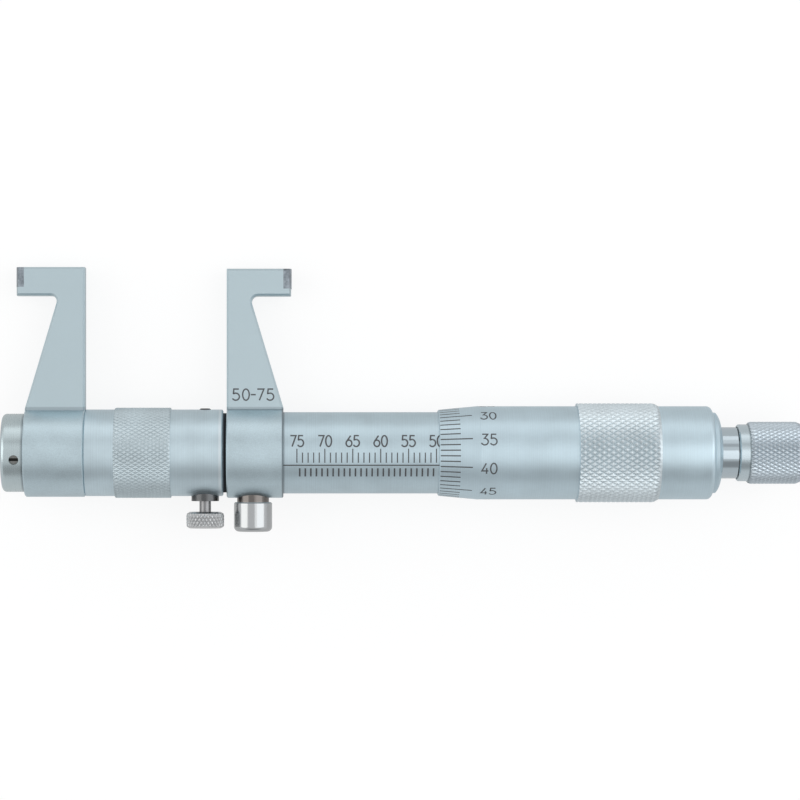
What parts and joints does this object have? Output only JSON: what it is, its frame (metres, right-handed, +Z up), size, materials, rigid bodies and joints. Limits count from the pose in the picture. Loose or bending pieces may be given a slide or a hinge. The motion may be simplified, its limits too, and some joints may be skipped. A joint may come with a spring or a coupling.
{
  "type": "inside micrometer",
  "caption": "Inside micrometer with hooked jaws, graduated sleeve and thimble, ratchet stop and rod lock, for gauging bores and slots.",
  "frame": {"origin": "centre of the part's box, on the surface it lies on", "axes": "+X along the instrument's axis to the ratchet knob, +Y the way the hooks reach, +Z up from the table"},
  "size_m": [0.1448, 0.048, 0.018],
  "materials": {
    "jaw_satin": "satin chrome",
    "scale_satin": "satin chrome",
    "thimble_satin": "satin chrome with a knurled band",
    "tube_satin": "satin chrome with a knurled band",
    "cap_steel": "fine turned",
    "carbide": "dark, lapped",
    "ground_steel": "ground",
    "polished_chrome": "polished",
    "knob_satin": "knurled",
    "knurled_steel": "knurled, bright",
    "dark_steel": "dark, oiled",
    "spring_steel": "drawn wire",
    "black_rubber": "matt",
    "brass": "turned"
  },
  "bodies": {
    "frame": {"fixed_jaw": "jaw_satin", "fixed_contact_tip": "carbide", "inner_sleeve": "ground_steel", "scale_sleeve": "scale_satin", "adjusting_nut": "ground_steel", "guide_key_screw": "dark_steel", "wiper_ring": "black_rubber"},
    "carriage": {"guide_rod": "ground_steel", "moving_jaw": "jaw_satin", "moving_contact_tip": "carbide", "end_cap": "cap_steel", "cap_set_screw": "dark_steel", "extension_tube": "tube_satin", "thumb_screw_bush": "dark_steel", "locating_pin": "dark_steel", "spindle_retainer": "ground_steel", "thrust_ball": "ground_steel"},
    "thimble": {"spindle": "ground_steel", "thimble": "thimble_satin", "thimble_cap": "thimble_satin", "ratchet_stem": "polished_chrome", "ratchet_screw": "dark_steel"},
    "ratchet": {"ratchet_knob": "knob_satin", "ratchet_spring": "spring_steel"},
    "clutch": {"ratchet_clutch": "ground_steel"},
    "lock_pad": {"lock_pad": "brass"},
    "lock_knob": {"lock_knob": "polished_chrome"},
    "clamp_pad": {"clamp_pad": "brass"},
    "thumb_screw": {"thumb_screw": "knurled_steel"}
  },
  "joints": [
    {"name": "jaw_slide", "type": "slide", "parent": "frame", "child": "carriage", "axis": [-1, 0, 0], "range_m": [-0.0005, 0.026]},
    {"name": "thimble_turn", "type": "hinge", "parent": "carriage", "child": "thimble", "pos_m": [-0.03178, -0.00944, 0.00898], "axis": [-1, 0, 0], "range_deg": [-360, 18720]},
    {"name": "ratchet_spin", "type": "hinge", "parent": "thimble", "child": "ratchet", "pos_m": [0.06072, -0.00944, 0.00898], "axis": [-1, 0, 0], "continuous": true},
    {"name": "clutch_slide", "type": "slide", "parent": "ratchet", "child": "clutch", "axis": [1, 0, 0], "range_m": [0, 0.00045], "stiffness_N_per_m": 400, "springref_m": -0.0012, "deforming": ["ratchet_spring"]},
    {"name": "lock_press", "type": "slide", "parent": "frame", "child": "lock_pad", "axis": [0, -0.9849, 0.1733], "range_m": [-0.0002, 0.0005]},
    {"name": "lock_turn", "type": "hinge", "parent": "lock_pad", "child": "lock_knob", "pos_m": [-0.02703, -0.01825, 0.01053], "axis": [0, -0.9849, 0.1733], "range_deg": [-144, 360]},
    {"name": "clamp_press", "type": "slide", "parent": "carriage", "child": "clamp_pad", "axis": [0, -0.9849, 0.1733], "range_m": [0, 0.0006]},
    {"name": "clamp_turn", "type": "hinge", "parent": "clamp_pad", "child": "thumb_screw", "pos_m": [-0.03571, -0.01999, 0.01084], "axis": [0, -0.9849, 0.1733], "range_deg": [0, 540]}
  ],
  "couplings": [
    {"joint": "thimble_turn", "follows": "jaw_slide", "rad_per_m": 12566},
    {"joint": "lock_turn", "follows": "lock_press", "rad_per_m": 12566},
    {"joint": "clamp_turn", "follows": "clamp_press", "rad_per_m": 15708}
  ]
}
